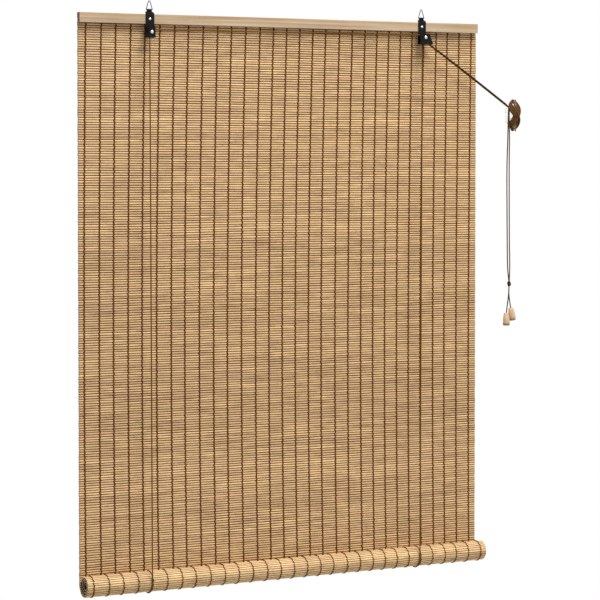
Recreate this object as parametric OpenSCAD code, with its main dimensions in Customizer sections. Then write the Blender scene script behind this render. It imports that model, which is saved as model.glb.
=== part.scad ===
// Roll-up window blind of split bamboo slats. A wooden head rail carries the woven mat, whose lower end
// is wound into a roll in front of it. Two wire rings hang it up. Lift cords run from the back of the
// rail under the roll, up the front to a guide and a cord lock, and on to a cleat on the wall.

/* [Mat] */
// Width of the mat and of the head rail
mat_w = 800; // [600:10:1200]
// Height of one slat row with its groove
slat_pitch = 4.15; // [3:0.05:6]
// Thickness of a slat, front to back
slat_t = 2.2; // [1.8:0.1:3]
// Slat rows between the head rail and the roll
hang_slats = 232; // [120:1:300]
// Depth of the groove between two slats, on each face
groove_d = 0.8; // [0.3:0.1:0.8]
// Half the width of that groove at the face
groove_half_w = 0.45; // [0.2:0.05:0.8]
// Warp threads across the width
warps = 30; // [10:1:40]
// Distance from the side of the mat to its first warp thread
warp_margin = 11.5; // [5:0.5:20]
// How far the middle warp thread sits to the right of an even spacing
warp_bow = 9.5; // [0:0.5:15]
// Width of a warp thread
thread_w = 1.2; // [0.6:0.1:2]
// How far a warp thread stands proud of the slats
thread_t = 0.5; // [0.2:0.1:1]

/* [Roll] */
// Outer radius of the roll
roll_r = 19; // [14:0.5:30]
// Open gap between two turns of the roll
turn_gap = 2; // [0.5:0.1:4]
// Open radius in the middle of the roll
core_r = 2.2; // [1.5:0.1:6]

/* [Head rail] */
// Height of the rail
rail_h = 17; // [12:0.5:30]
// Thickness of the rail, front to back
rail_t = 9; // [6:0.5:20]
// Rounding of the rail's long edges
rail_edge_r = 1; // [0.5:0.1:2]
// How far the rail's front lies before the rings
rail_lead = 2.5; // [2:0.5:6]
// Staples that hold the mat on the rail
staples = 9; // [5:1:15]
// Width of a staple
staple_w = 10; // [6:0.5:14]
// Wire thickness of a staple
staple_wire = 0.7; // [0.5:0.1:1.2]
// Depth of a staple in the rail
staple_grip = 4; // [2:0.5:5]

/* [Hangers] */
// Left hanger's distance from the rail's left end
left_hanger_in = 131; // [60:1:160]
// Right hanger's distance from the rail's right end
right_hanger_in = 121.4; // [60:0.1:160]
// Width of a hanger plate
hanger_w = 16; // [14:0.5:24]
// Width of a hanger's neck and eye
neck_w = 8.4; // [5:0.1:8.6]
// Width of the tongue under the rail
tongue_w = 10; // [8:0.5:10]
// Steel thickness of a hanger
steel_t = 1.2; // [0.8:0.1:2]
// Height of the eye's axis above the rail
eye_rise = 6.8; // [6:0.1:14]
// Height from the eye's axis to the inside of the ring's top
ring_h = 15.2; // [11:0.1:20]
// Outer width of a ring
ring_w = 13; // [12.6:0.1:16]
// Wire thickness of a ring
ring_wire = 1.6; // [1.2:0.1:2]
// Bend radius of the ring's corners, at the wire's middle
ring_bend = 1.5; // [1.2:0.1:1.6]
// Depth of a hanger screw's axis below the rail's top
screw_drop = 8.7; // [6:0.1:12]
// Head diameter of a hanger screw
screw_head = 5; // [4:0.1:7]
// Shank diameter of a hanger screw
screw_shank = 2.9; // [2:0.1:4]
// Length of a hanger screw under its head
screw_len = 8; // [5:0.5:9]

/* [Cord guide and lock] */
// Height of both housings
house_h = 20; // [19:0.5:26]
// Gap between the rail and the top of the housings
house_drop = 4; // [2:0.5:8]
// Clear gap between the two cheeks of a housing
house_gap = 7; // [7:0.1:9]
// Sheet thickness of the housings
sheet_t = 1; // [0.8:0.1:1.4]
// Width of the guide housing
guide_w = 13; // [13:0.5:20]
// How far the guide's side wall reaches back beside the tongue
guide_wing = 7.5; // [4:0.5:8]
// Radius of the guide sheave at the middle of the cord
guide_sheave_r = 3.5; // [3.4:0.1:4.5]
// Radius of the lock sheave at the middle of the cord
lock_sheave_r = 4.5; // [4.2:0.1:5]
// Radius of the rivets that carry the sheaves
rivet_r = 1.5; // [1.2:0.05:1.5]
// Head diameter of those rivets
rivet_head = 6; // [5:0.1:7]
// How far the lock's rivet lies right of its hanger's middle
lock_shift = 3; // [0:0.5:4]
// How far the cord lies higher at the lock than at the guide
lock_rise = 4; // [0:0.5:4]
// Steepness of the cord's run down the lock's side wall
lock_slope = 67; // [60:1:72]
// Length of that run
lock_run = 15; // [14.5:0.5:17]
// Tip radius of the toothed grip roller
grip_r = 1.9; // [1.7:0.1:2]
// Teeth on the grip roller
grip_teeth = 12; // [8:1:16]
// Radius of the grip roller's pin
grip_pin_r = 1; // [0.8:0.05:1]
// Travel of the grip roller in its slots
grip_travel = 1.8; // [1:0.1:2]
// Lean of those slots away from the upright
grip_lean = 20; // [10:1:25]

/* [Cords] */
// Diameter of the cord
cord_d = 2; // [1.6:0.1:2]
// Clearance between a cord and what it passes
cord_gap = 0.3; // [0.2:0.05:0.4]
// Left cord's distance from the mat's left side, under the roll
left_loop_in = 121; // [60:1:160]
// Right cord's distance from the mat's right side, under the roll
right_loop_in = 140; // [60:1:160]

/* [Cleat and pulls] */
// Distance of the wall behind the rings
wall_y = 15.5; // [14.5:0.5:24]
// Cleat's distance from the mat's right side
cleat_out = 80.5; // [60:0.5:110]
// Depth of the cleat's middle below the rail's top
cleat_drop = 169; // [120:1:300]
// Length of the cleat over its horns
cleat_l = 60; // [50:1:80]
// Width of the cleat's neck
cleat_neck_w = 8; // [8:0.5:10]
// Height of the cleat's neck
cleat_neck_h = 24; // [20:0.5:30]
// Depth of the cleat from the wall to the front of its horns
cleat_depth = 23; // [20:0.5:30]
// Thickness of a horn at its root
horn_t = 6; // [5:0.5:8]
// Thickness of the cleat's foot on the wall
foot_t = 3; // [2:0.5:4]
// Distance between the cleat's two screw holes
cleat_hole_gap = 13; // [10:0.5:14]
// Radius of those holes
cleat_hole_r = 1.8; // [1.5:0.1:2]
// Width of the wound cord on the cleat
winding_w = 16; // [14:0.5:20]
// Thickness of the wound cord
winding_t = 9; // [7:0.5:11]
// Height of a wooden pull
pull_h = 24; // [18:0.5:32]
// Diameter of a pull at its top
pull_top_d = 9; // [8:0.5:12]
// Diameter of a pull at its foot
pull_foot_d = 13; // [12:0.5:20]

/* [Hidden] */
$fn = 48;

BAMBOO = "#b8936a";
RAIL_WOOD = "#ccb494";
PULL_WOOD = "#c9a984";
THREAD = "#5a3a1c";
CORD = "#6b4a2c";
BLACK_STEEL = "#17171a";
BRIGHT_STEEL = "#b9bcbf";
PALE_PLASTIC = "#d6d3ca";

// Radial clearance of a turning fit
running_fit = 0.06;
// Side clearance of a sheave or roller between the cheeks
side_play = 0.3;
// Amount that a cutter runs past a face
past = 1;
// Straight wire and cord are this much thinner than their bends, and reach this far into them
seam_step = 0.01;
seam_reach = 0.05;

// Levels, with zero at the inside of the rings' tops
eye_z = -ring_h;
rail_top = eye_z - eye_rise;
rail_bottom = rail_top - rail_h;
roll_z = rail_bottom - hang_slats * slat_pitch;
house_top = rail_bottom - house_drop;
house_bottom = house_top - house_h;
guide_z = (house_top + house_bottom) / 2;
lock_z = guide_z + guide_sheave_r - lock_sheave_r + lock_rise;
screw_z = rail_top - screw_drop;
cleat_z = rail_top - cleat_drop;

// Depths, front to back
rail_front = -rail_lead;
rail_back = rail_front + rail_t;
mat_front = rail_back;
mat_back = mat_front + slat_t;
plate_front = rail_front - steel_t;
house_back = plate_front;
house_front = house_back - house_gap - 2 * sheet_t;
house_mid = (house_front + house_back) / 2;
roll_y = mat_back - roll_r;

// Cord places
cord_r = cord_d / 2;
groove_pitch = cord_d + 2 * cord_gap + 0.5;
left_cord_y = house_mid - groove_pitch / 2;
right_cord_y = house_mid + groove_pitch / 2;
loop_r = roll_r + thread_t + cord_gap + cord_r;
guide_x = left_hanger_in - mat_w / 2;
right_hanger_x = mat_w / 2 - right_hanger_in;
lock_x = right_hanger_x + lock_shift;
left_cord_x = left_loop_in - mat_w / 2;
right_cord_x = mat_w / 2 - right_loop_in;
cleat_x = mat_w / 2 + cleat_out;
cord_top = rail_top - rail_h / 4;
meet_gap = 0.05;
thread_slack = 0.1;

// Mat and roll
head_slats = floor(rail_h / slat_pitch);
warp_pitch = (mat_w - 2 * warp_margin) / (warps - 1);
turn_pitch = slat_t + turn_gap;
roll_turns = (roll_r - core_r - slat_t) / turn_pitch;
roll_arc = 2 * PI * roll_turns * (roll_r - turn_pitch * roll_turns / 2);
roll_slats = floor(roll_arc / slat_pitch);
outer_turn_slats = floor(2 * PI * (roll_r - turn_pitch / 2) / slat_pitch);

// Lock: where the cord leaves the sheave, ends its straight run and bends towards the cleat
lock_out = [cos(lock_slope), -sin(lock_slope)];
lock_normal = [sin(lock_slope), cos(lock_slope)];
lock_start = lock_sheave_r * lock_normal;
lock_end = lock_start + lock_run * lock_out;
exit_bend_r = 2 * cord_d;
exit_slope = 34;
exit_centre = lock_end + exit_bend_r * lock_normal;
wall_in = cord_r + cord_gap + 0.05;
wall_out = wall_in + sheet_t;
lock_flange = 2.5;
lock_left = -12;
lock_top = house_top - lock_z;
lock_foot = house_bottom - lock_z;
wall_foot = lock_run * 0.76;
grip_at = lock_start + 0.68 * lock_run * lock_out - (grip_r + cord_r + cord_gap) * lock_normal;
grip_way = [-sin(grip_lean), -cos(grip_lean)];

// Slope of the cord that runs from the guide's sheave to the lock's
cross_way = [lock_x - guide_x, lock_z - guide_z];
cross_tilt = atan2(cross_way[1], cross_way[0]) + asin((lock_sheave_r - guide_sheave_r) / norm(cross_way));

// Ring: straight half of its base, and the tilt of its sides
ring_base = ring_w / 2 - ring_wire / 2 - ring_bend;
ring_tall = ring_h + ring_wire / 2 - 2 * ring_bend;
ring_side = norm([ring_base, ring_tall]);
ring_tilt = atan2(ring_base, ring_tall);

// Wound cord on the cleat: a curved band that bows out in the middle
winding_r = 32;
winding_sweep = 104;
winding_front = -10;

// Free cords, as points in millimetres from the rings' line: left and right cord of each pair, for a mat
// of the drawn width; they keep their distance from its right side
drawn_w = 800;
cord_shift = [(mat_w - drawn_w) / 2, 0, 0];
PULL_LEFT = [[293, -10, -64], [340, -9, -93.5], [400, -8, -132], [450, -7.5, -164], [476, -7.5, -182]];
PULL_RIGHT = [[293, -7, -64], [340, -6.8, -95], [400, -6, -134], [450, -5.5, -166.5], [476, -6, -184.5]];
HANG_LEFT = [[477, -8, -181], [472, -8, -178], [468.5, -7, -181], [467.5, -6, -192], [467.5, -3, -230],
    [467.5, 0.5, -293], [469, 1, -400], [473, 0.9, -502]];
HANG_RIGHT = [[476, -5, -197], [473, -4.5, -199], [471.5, -3.5, -206], [472, -1, -235], [473.5, 2, -293],
    [473.5, 2.8, -420], [474.7, 3.1, -502]];
TAIL_LEFT = [[473.3, 0.9, -511], [472.2, 0.9, -528], [470, 1.2, -545], [467.8, 1.5, -561]];
TAIL_RIGHT = [[474.8, 3.1, -511], [474.4, 3.1, -526], [476, 2.8, -539], [478.4, 2.5, -552]];
KNOT_AT = [474.1, 2, -507];
KNOT_SIZE = [7.5, 11];
PULL_TILT = 10;

// Side profile (depth, height) drawn across the blind, centred on its middle
module across(width) {
    rotate([90, 0, 90])
        linear_extrude(width, center = true)
            children();
}

// Front outline (across, height) as a plate that ends at back_y
module plate(back_y, thickness) {
    translate([0, back_y, 0])
        rotate([90, 0, 0])
            linear_extrude(thickness)
                children();
}

// Round bar along the depth, from front_y to back_y
module pin(x, z, front_y, back_y, r) {
    translate([x, back_y, z])
        rotate([90, 0, 0])
            cylinder(h = back_y - front_y, r = r);
}

module rounded(w, h, r) {
    union() {
        square([w - 2 * r, h], center = true);
        square([w, h - 2 * r], center = true);
        for (x = [-1, 1], y = [-1, 1])
            translate([x * (w / 2 - r), y * (h / 2 - r)])
                circle(r = r);
    }
}

module slot(a, b, r) {
    d = b - a;
    translate(a)
        circle(r = r);
    translate(b)
        circle(r = r);
    translate(a)
        rotate(atan2(d[1], d[0]))
            translate([0, -r])
                square([norm(d), 2 * r]);
}

// Straight cord between two points
module straight_cord(a, b) {
    d = b - a;
    translate(a)
        rotate([0, acos(d[2] / norm(d)), atan2(d[1], d[0])])
            cylinder(h = norm(d), r = cord_r);
}

// Straight cord that joins the bends at its two ends
module joined_cord(a, b) {
    d = b - a;
    translate(a)
        rotate([0, acos(d[2] / norm(d)), atan2(d[1], d[0])])
            translate([0, 0, -seam_reach])
                cylinder(h = norm(d) + 2 * seam_reach, r = cord_r - seam_step);
}

// Cord bent about an axis along the depth, from one angle to another
module bent_cord(x, z, y, r, from, to) {
    translate([x, y, z])
        rotate([90, 0, 0])
            rotate(from)
                rotate_extrude(angle = to - from)
                    translate([r, 0])
                        circle(r = cord_r);
}

// Sweep of an eight-sided tube along a list of points
function unit(v) = v / norm(v);
function along(p, i) = unit(p[min(i + 1, len(p) - 1)] - p[max(i - 1, 0)]);
function side(t) = unit(cross(t, abs(t[1]) > 0.9 ? [1, 0, 0] : [0, 1, 0]));
function tube_ring(c, t, r) =
    [for (k = [0:7]) c + r * (cos(45 * k) * side(t) + sin(45 * k) * cross(t, side(t)))];

module swept_cord(p) {
    n = len(p);
    points = [for (i = [0:n - 1]) each tube_ring(p[i], along(p, i), cord_r)];
    walls = [for (i = [0:n - 2], k = [0:7])
        [8 * i + k, 8 * i + 8 + k, 8 * i + 8 + (k + 1) % 8, 8 * i + (k + 1) % 8]];
    first = [for (k = [0:7]) k];
    last = [for (k = [7:-1:0]) 8 * (n - 1) + k];
    polyhedron(points, concat(walls, [first, last]));
}

// Ridged wall of slat rows, as a side profile from its foot upwards
function ridged(rows, foot) = concat(
    [[mat_front + groove_d, foot]],
    [for (i = [0:rows - 1]) each [
        [mat_front, foot + i * slat_pitch + groove_half_w],
        [mat_front, foot + (i + 1) * slat_pitch - groove_half_w],
        [mat_front + groove_d, foot + (i + 1) * slat_pitch]]],
    [[mat_back - groove_d, foot + rows * slat_pitch]],
    [for (i = [rows - 1:-1:0]) each [
        [mat_back, foot + (i + 1) * slat_pitch - groove_half_w],
        [mat_back, foot + i * slat_pitch + groove_half_w],
        [mat_back - groove_d, foot + i * slat_pitch]]]
);

// Point of the roll's spiral: distance s along its outer face from the mat's back, inset from that face
function roll_angle(s) = 360 * (roll_r - sqrt(roll_r * roll_r - turn_pitch * s / PI)) / turn_pitch;
function roll_point(s, inset) =
    let (a = roll_angle(s), r = roll_r - turn_pitch * a / 360 - inset)
        [roll_y + r * cos(a), roll_z - r * sin(a)];
function crest(i, inset) = [
    roll_point(i * slat_pitch + groove_half_w, inset),
    roll_point((i + 1) * slat_pitch - groove_half_w, inset)
];
function reversed(list) = [for (i = [len(list) - 1:-1:0]) list[i]];

function warp_share(i) = i / (warps - 1);

function warp_x(i) = -mat_w / 2 + warp_margin + i * warp_pitch
    + 4 * warp_bow * warp_share(i) * (1 - warp_share(i));

module head_rail() {
    color(RAIL_WOOD)
        difference() {
            across(mat_w)
                translate([(rail_front + rail_back) / 2, (rail_top + rail_bottom) / 2])
                    rounded(rail_t, rail_h, rail_edge_r);
            for (x = [guide_x, right_hanger_x])
                pin(x, screw_z, rail_front - past, plate_front + screw_len + 0.2, screw_shank / 2 + running_fit);
        }
}

module mat_heading() {
    color(BAMBOO)
        across(mat_w)
            polygon(ridged(head_slats, rail_bottom));
}

module hanging_mat() {
    color(BAMBOO)
        across(mat_w)
            polygon(ridged(hang_slats, roll_z));
}

// The roll is one strip of slat rows wound from the foot of the hanging mat towards the middle
module rolled_mat() {
    outer = [for (i = [0:roll_slats - 1]) each concat(
        crest(i, 0), [roll_point((i + 1) * slat_pitch, groove_d)])];
    inner = [for (i = [0:roll_slats - 1]) each concat(
        crest(i, slat_t), [roll_point((i + 1) * slat_pitch, slat_t - groove_d)])];
    color(BAMBOO)
        across(mat_w)
            polygon(concat(
                [roll_point(0, groove_d)], outer,
                reversed(inner), [roll_point(0, slat_t - groove_d)]));
}

module hanging_threads() {
    color(THREAD)
        for (i = [0:warps - 1], y = [mat_front - thread_t, mat_back])
            translate([warp_x(i) - thread_w / 2, y, roll_z])
                cube([thread_w, thread_t, rail_bottom - roll_z]);
}

module roll_threads() {
    under = [for (i = [0:outer_turn_slats]) roll_point(i * slat_pitch, -thread_slack)];
    over = [for (i = [0:outer_turn_slats]) roll_point(i * slat_pitch, -thread_t)];
    color(THREAD)
        for (i = [0:warps - 1])
            translate([warp_x(i), 0, 0])
                across(thread_w)
                    polygon(concat(over, reversed(under)));
}

// U-shaped wire with its bow at bow_y and its legs in the rail
module staple(x, z, width, bow_y) {
    leg = bow_y + staple_wire - (rail_back - staple_grip);
    translate([x - width / 2, bow_y, z - staple_wire / 2])
        cube([width, staple_wire, staple_wire]);
    for (s = [-1, 1])
        translate([x + s * (width - staple_wire) / 2 - staple_wire / 2, bow_y + staple_wire - leg,
                z - staple_wire / 2])
            cube([staple_wire, leg, staple_wire]);
}

module heading_staples() {
    color(BRIGHT_STEEL)
        for (i = [0:staples - 1])
            staple((i - (staples - 1) / 2) * mat_w / staples, rail_bottom + rail_h / 4,
                staple_w, mat_back);
}

module cord_staples() {
    color(BRIGHT_STEEL)
        for (x = [left_cord_x, right_cord_x])
            staple(x, cord_top - 2 * staple_wire, cord_d + 2 * (cord_gap + staple_wire),
                roll_y + loop_r + cord_r + cord_gap);
}

// Stamped plate on the rail's front, stepped back over the rail's top and rising to a rolled eye
module hanger(x, rivet_x, rivet_z) {
    bend_z = rail_top + 0.4;
    step_z = bend_z + 2.2;
    half = steel_t / 2;
    neck_z = step_z + (hanger_w - neck_w) / 3;
    eye_r = ring_wire / 2 + running_fit;
    color(BLACK_STEEL)
        difference() {
            translate([x, 0, 0])
                difference() {
                    union() {
                        intersection() {
                            across(hanger_w + past)
                                polygon([
                                    [plate_front, house_bottom], [rail_front, house_bottom],
                                    [rail_front, bend_z], [half, step_z], [half, eye_z], [-half, eye_z],
                                    [-half, step_z + half], [plate_front, bend_z + half]]);
                            plate(past, past - plate_front + past)
                                polygon([
                                    [-tongue_w / 2, house_bottom], [tongue_w / 2, house_bottom],
                                    [tongue_w / 2, house_top], [hanger_w / 2, house_top],
                                    [hanger_w / 2, step_z], [neck_w / 2, neck_z], [neck_w / 2, eye_z],
                                    [-neck_w / 2, eye_z], [-neck_w / 2, neck_z], [-hanger_w / 2, step_z],
                                    [-hanger_w / 2, house_top], [-tongue_w / 2, house_top]]);
                        }
                        across(neck_w)
                            translate([0, eye_z])
                                circle(r = eye_r + steel_t);
                    }
                    across(hanger_w)
                        translate([0, eye_z])
                            circle(r = eye_r);
                    pin(0, screw_z, plate_front - past, rail_front + past, screw_shank / 2 + running_fit);
                }
            pin(rivet_x, rivet_z, plate_front - past, rail_front + past, rivet_r + running_fit);
        }
}

module left_hanger() {
    hanger(guide_x, guide_x, guide_z);
}

module right_hanger() {
    hanger(right_hanger_x, lock_x, lock_z);
}

// Closed triangle of bent wire that stands up from the eye
module ring(x) {
    straight_r = ring_wire / 2 - seam_step;
    corners = [
        [-ring_base, eye_z + ring_bend, 180 - ring_tilt, 270],
        [ring_base, eye_z + ring_bend, -90, ring_tilt],
        [0, ring_wire / 2 - ring_bend, ring_tilt, 180 - ring_tilt]
    ];
    color(BRIGHT_STEEL)
        translate([x, 0, 0]) {
            translate([-ring_base - seam_reach, 0, eye_z])
                rotate([0, 90, 0])
                    cylinder(h = 2 * (ring_base + seam_reach), r = straight_r);
            for (s = [-1, 1])
                translate([s * (ring_base + ring_bend * cos(ring_tilt)), 0,
                        eye_z + ring_bend + ring_bend * sin(ring_tilt)])
                    rotate([0, -s * ring_tilt, 0])
                        translate([0, 0, -seam_reach])
                            cylinder(h = ring_side + 2 * seam_reach, r = straight_r);
            for (c = corners)
                translate([c[0], 0, c[1]])
                    rotate([90, 0, 0])
                        rotate(c[2])
                            rotate_extrude(angle = c[3] - c[2])
                                translate([ring_bend, 0])
                                    circle(d = ring_wire);
        }
}

module left_ring() {
    ring(guide_x);
}

module right_ring() {
    ring(right_hanger_x);
}

// Domed head on the front of a plate, with the shank behind it
module headed_pin(x, z, seat_y, head_d, head_h, shank_r, shank_l) {
    ball_r = (head_d * head_d / 4 + head_h * head_h) / (2 * head_h);
    pin(x, z, seat_y, seat_y + shank_l, shank_r);
    translate([x, seat_y, z])
        rotate([90, 0, 0])
            intersection() {
                translate([0, 0, head_h - ball_r])
                    sphere(r = ball_r);
                cylinder(h = head_h + past, d = head_d);
            }
}

module hanger_screws() {
    head_h = screw_head / 3;
    cross_l = 0.6 * screw_head;
    cross_w = 0.16 * screw_head;
    color(BRIGHT_STEEL)
        for (x = [guide_x, right_hanger_x])
            difference() {
                headed_pin(x, screw_z, plate_front, screw_head, head_h, screw_shank / 2, screw_len);
                for (turn = [45, 135])
                    translate([x, plate_front - head_h, screw_z])
                        rotate([0, turn, 0])
                            cube([cross_l, head_h, cross_w], center = true);
            }
}

module sheave_rivets() {
    tail_h = 0.8;
    color(BRIGHT_STEEL)
        for (at = [[guide_x, guide_z], [lock_x, lock_z]]) {
            headed_pin(at[0], at[1], house_front, rivet_head, rivet_head / 4, rivet_r,
                rail_front - house_front + tail_h);
            pin(at[0], at[1], rail_front, rail_front + tail_h, rivet_r + tail_h);
        }
}

// Folded channel, open to the right, above and below; its side wall reaches back beside the tongue
module left_guide_housing() {
    depth = house_back - house_front;
    wing_h = house_h - sheet_t;
    color(BLACK_STEEL)
        difference() {
            union() {
                translate([guide_x, house_mid, house_bottom])
                    linear_extrude(house_h)
                        difference() {
                            rounded(guide_w, depth, sheet_t);
                            translate([sheet_t, 0])
                                square([guide_w, house_gap], center = true);
                        }
                translate([guide_x - guide_w / 2, house_mid, house_bottom])
                    cube([sheet_t, depth / 2 + guide_wing, wing_h]);
            }
            pin(guide_x, guide_z, house_front - past, house_back + past, rivet_r + running_fit);
        }
}

// Grooved wheel for two cords, turning on a rivet
module sheave(x, z, r) {
    width = house_gap - 2 * side_play;
    groove_w = cord_d + 2 * cord_gap;
    foot_r = r - cord_r - cord_gap;
    rim_r = r + 0.7;
    color(BRIGHT_STEEL)
        translate([x, house_mid, z])
            rotate([90, 0, 0])
                rotate_extrude()
                    difference() {
                        translate([rivet_r + running_fit, -width / 2])
                            square([rim_r - rivet_r - running_fit, width]);
                        for (s = [-1, 1])
                            translate([foot_r, s * groove_pitch / 2 - groove_w / 2])
                                square([rim_r, groove_w]);
                    }
}

module guide_sheave() {
    sheave(guide_x, guide_z, guide_sheave_r);
}

module lock_sheave() {
    sheave(lock_x, lock_z, lock_sheave_r);
}

// Point beside the cord's run in the lock, away from the sheave by off and along the run by far
function beside_run(far, off) = lock_start + far * lock_out + off * lock_normal;
// Distance along the run at which a line beside it reaches a given height
function run_at(height, off) = (lock_start[1] + off * lock_normal[1] - height) / -lock_out[1];

// Two slanting cheeks with a top web and the side wall that the cord is gripped against
module right_lock_housing() {
    edge = wall_out + lock_flange;
    top_right = beside_run(run_at(lock_top, edge), edge);
    low_right = beside_run(run_at(lock_foot + 2, edge), edge);
    wall_top = beside_run(run_at(lock_top, wall_out), wall_out);
    color(BLACK_STEEL)
        difference() {
            translate([lock_x, 0, lock_z]) {
                for (back = [house_back, house_front + sheet_t])
                    plate(back, sheet_t)
                        difference() {
                            polygon([
                                [lock_left, lock_foot], [low_right[0] - 1.5, lock_foot], low_right,
                                top_right, [lock_left, lock_top]]);
                            slot(grip_at, grip_at + grip_travel * grip_way, grip_pin_r + running_fit);
                        }
                plate(house_back - sheet_t, house_gap) {
                    polygon([
                        beside_run(run_at(lock_top, wall_in), wall_in), beside_run(wall_foot, wall_in),
                        beside_run(wall_foot, wall_out), wall_top]);
                    translate([lock_left, lock_top - sheet_t])
                        square([wall_top[0] - lock_left, sheet_t]);
                }
            }
            pin(lock_x, lock_z, house_front - past, house_back + past, rivet_r + running_fit);
        }
}

module grip_pin() {
    color(BLACK_STEEL)
        pin(lock_x + grip_at[0], lock_z + grip_at[1], house_front, house_back - sheet_t / 4, grip_pin_r);
}

module grip_roller() {
    step = 360 / grip_teeth;
    root_r = grip_r - 0.3;
    color(BRIGHT_STEEL)
        translate([lock_x, 0, lock_z])
            plate(house_back - sheet_t - side_play, house_gap - 2 * side_play)
                translate(grip_at)
                    difference() {
                        polygon([for (i = [0:grip_teeth - 1]) each [
                            grip_r * [cos(i * step), sin(i * step)],
                            root_r * [cos((i + 0.5) * step), sin((i + 0.5) * step)]]]);
                        circle(r = grip_pin_r + running_fit);
                    }
}

// Cord down the lock's side wall and round the bend to its way out
module lock_run_cord(y) {
    at = [lock_x, 0, lock_z];
    joined_cord(at + [lock_start[0], y, lock_start[1]], at + [lock_end[0], y, lock_end[1]]);
    bent_cord(lock_x + exit_centre[0], lock_z + exit_centre[1], y, exit_bend_r,
        270 - lock_slope, 270 - exit_slope);
}

// Left cord: over the guide sheave, across the blind and over the lock sheave
module cross_cord() {
    rise = [-sin(cross_tilt), 0, cos(cross_tilt)];
    color(CORD) {
        bent_cord(guide_x, guide_z, left_cord_y, guide_sheave_r, 90 + cross_tilt, 180);
        joined_cord([guide_x, left_cord_y, guide_z] + guide_sheave_r * rise,
            [lock_x, left_cord_y, lock_z] + lock_sheave_r * rise);
        bent_cord(lock_x, lock_z, left_cord_y, lock_sheave_r, 90 - lock_slope, 90 + cross_tilt);
        lock_run_cord(left_cord_y);
    }
}

// Right cord: up and over the lock sheave
module right_lock_cord() {
    color(CORD) {
        bent_cord(lock_x, lock_z, right_cord_y, lock_sheave_r, 90 - lock_slope, 180);
        lock_run_cord(right_cord_y);
    }
}

module left_front_cord() {
    color(CORD)
        straight_cord([left_cord_x, roll_y - loop_r, roll_z + meet_gap],
            [guide_x - guide_sheave_r, left_cord_y, guide_z - meet_gap]);
}

module right_front_cord() {
    color(CORD)
        straight_cord([right_cord_x, roll_y - loop_r, roll_z + meet_gap],
            [lock_x - lock_sheave_r, right_cord_y, lock_z - meet_gap]);
}

module back_cord(x) {
    color(CORD)
        straight_cord([x, roll_y + loop_r, roll_z], [x, roll_y + loop_r, cord_top]);
}

module left_back_cord() {
    back_cord(left_cord_x);
}

module right_back_cord() {
    back_cord(right_cord_x);
}

// Half turn of cord under the roll
module roll_loop(x) {
    color(CORD)
        translate([x, roll_y, roll_z])
            rotate([90, 0, 90])
                rotate(180)
                    rotate_extrude(angle = 180)
                        translate([loop_r, 0])
                            circle(r = cord_r);
}

module left_roll_loop() {
    roll_loop(left_cord_x);
}

module right_roll_loop() {
    roll_loop(right_cord_x);
}

// Foot on the wall, neck and two horns that lean forward to their tips
module wall_cleat() {
    front = wall_y - cleat_depth;
    horn_y = front + horn_t / 2;
    horn_l = cleat_l / 2;
    horn_lean = 5;
    tip_r = horn_t / 3;
    sink_r = 2 * cleat_hole_r;
    neck_end = (cleat_neck_h - cleat_neck_w) / 2;
    color(PALE_PLASTIC)
        difference() {
            translate([cleat_x, 0, cleat_z]) {
                plate(wall_y, foot_t)
                    slot([0, -neck_end], [0, neck_end], cleat_neck_w);
                plate(wall_y, cleat_depth - horn_t / 2)
                    slot([0, -neck_end], [0, neck_end], cleat_neck_w / 2);
                for (turn = [horn_lean, 180 - horn_lean])
                    translate([0, horn_y, 0])
                        rotate([turn, 0, 0])
                            rotate_extrude()
                                polygon([
                                    [0, 0], [horn_t / 2, 0], [horn_t / 2, horn_l / 2],
                                    [tip_r, horn_l - tip_r], [tip_r * 0.7, horn_l - tip_r * 0.3],
                                    [tip_r * 0.3, horn_l], [0, horn_l]]);
            }
            for (s = [-1, 1]) {
                pin(cleat_x, cleat_z + s * cleat_hole_gap / 2, front - cleat_depth, wall_y + past, cleat_hole_r);
                translate([cleat_x, front - past, cleat_z + s * cleat_hole_gap / 2])
                    rotate([-90, 0, 0])
                        cylinder(h = sink_r - cleat_hole_r + past, r1 = sink_r + past, r2 = cleat_hole_r);
            }
        }
}

module pull_cords() {
    color(CORD)
        translate(cord_shift) {
            swept_cord(PULL_LEFT);
            swept_cord(PULL_RIGHT);
        }
}

// Outer shape of the cord wound on the cleat: behind both horns and across the front between them
module cleat_winding() {
    neck_end = (cleat_neck_h - cleat_neck_w) / 2;
    color(CORD)
        difference() {
            translate([cleat_x, winding_front + winding_r, cleat_z])
                rotate([0, 90, 0])
                    rotate(-90 - winding_sweep / 2)
                        rotate_extrude(angle = winding_sweep)
                            translate([winding_r, 0])
                                rounded(winding_t, winding_w, winding_t / 3);
            translate([cleat_x, 0, cleat_z])
                plate(wall_y, cleat_depth)
                    slot([0, -neck_end], [0, neck_end], cleat_neck_w / 2);
        }
}

module hanging_cords() {
    color(CORD)
        translate(cord_shift) {
            swept_cord(HANG_LEFT);
            swept_cord(HANG_RIGHT);
        }
}

// Both cords tied together
module pull_knot() {
    w = KNOT_SIZE[0] / 2;
    h = KNOT_SIZE[1] / 2;
    color(CORD)
        translate(cord_shift + KNOT_AT)
            rotate_extrude()
                polygon(concat(
                    [[0, -h]],
                    [for (a = [-75:15:75]) [w * cos(a), h * sin(a)]],
                    [[0, h]]));
}

module cord_tails() {
    color(CORD)
        translate(cord_shift) {
            swept_cord(TAIL_LEFT);
            swept_cord(TAIL_RIGHT);
        }
}

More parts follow.
